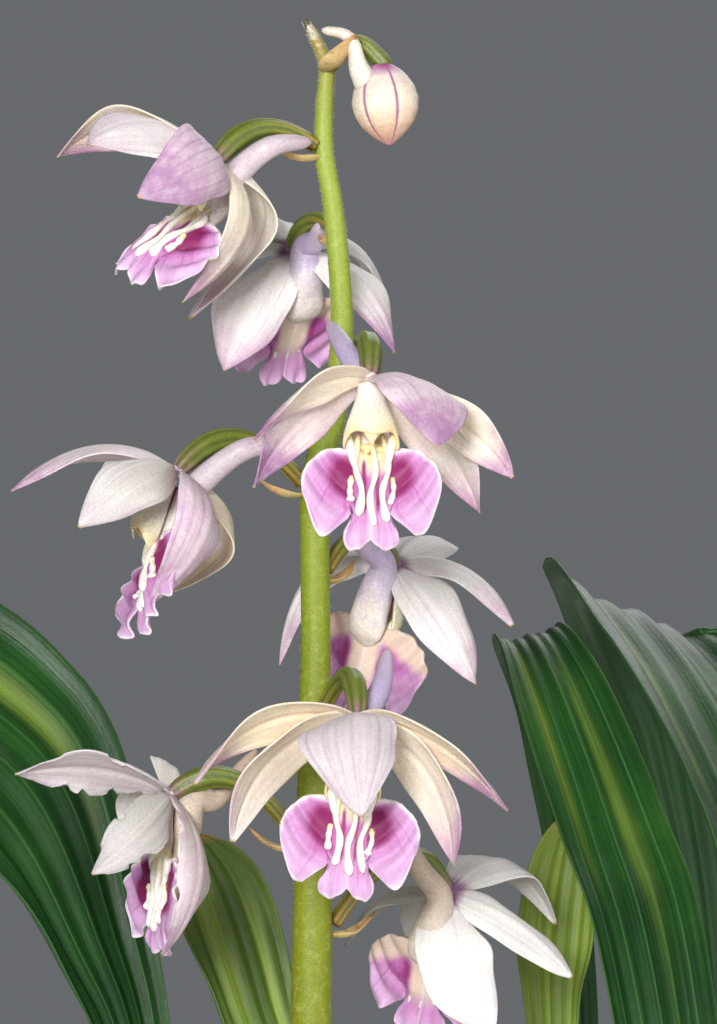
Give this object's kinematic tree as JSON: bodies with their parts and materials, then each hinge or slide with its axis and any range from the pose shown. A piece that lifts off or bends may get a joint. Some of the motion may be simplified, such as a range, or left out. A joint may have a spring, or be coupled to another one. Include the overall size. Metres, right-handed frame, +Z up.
{
  "type": "potted calanthe aristulifera orchid",
  "caption": "Potted woodland orchid: an upright stem of nodding pale pink blooms above broad pleated leaves in a plain clay pot.",
  "frame": {"origin": "middle of the underside of the pot, on the surface that it stands on", "axes": "+Z up along the flower stem; -Y the way the front blooms face, towards the picture's camera; +X to the picture's right"},
  "size_m": [0.2749, 0.2262, 0.4106],
  "materials": {
    "terracotta": "unglazed matt",
    "bark_mix": "rough, damp chips",
    "leaf": "glossy, pleated",
    "scape": "downy satin",
    "tepal": "soft satin",
    "lip": "soft satin",
    "column": "waxy satin",
    "pedicel": "satin"
  },
  "bodies": {
    "root": {"pot": "terracotta", "soil": "bark_mix", "growth_1": "leaf", "growth_2": "leaf", "growth_3": "leaf", "scape": "scape", "bloom_1_tepals": "tepal", "bloom_1_lip": "lip", "bloom_1_column": "column", "bloom_1_pedicel": "pedicel", "bloom_2_tepals": "tepal", "bloom_2_lip": "lip", "bloom_2_column": "column", "bloom_2_pedicel": "pedicel", "bloom_3_tepals": "tepal", "bloom_3_lip": "lip", "bloom_3_column": "column", "bloom_3_pedicel": "pedicel", "bloom_4_tepals": "tepal", "bloom_4_lip": "lip", "bloom_4_column": "column", "bloom_4_pedicel": "pedicel", "bloom_5_tepals": "tepal", "bloom_5_lip": "lip", "bloom_5_column": "column", "bloom_5_pedicel": "pedicel", "bloom_6_tepals": "tepal", "bloom_6_lip": "lip", "bloom_6_column": "column", "bloom_6_pedicel": "pedicel", "bloom_7_tepals": "tepal", "bloom_7_lip": "lip", "bloom_7_column": "column", "bloom_7_pedicel": "pedicel", "bloom_8_tepals": "tepal", "bloom_8_lip": "lip", "bloom_8_column": "column", "bloom_8_pedicel": "pedicel", "bud_tepals": "tepal", "bud_pedicel": "pedicel"}
  },
  "joints": []
}
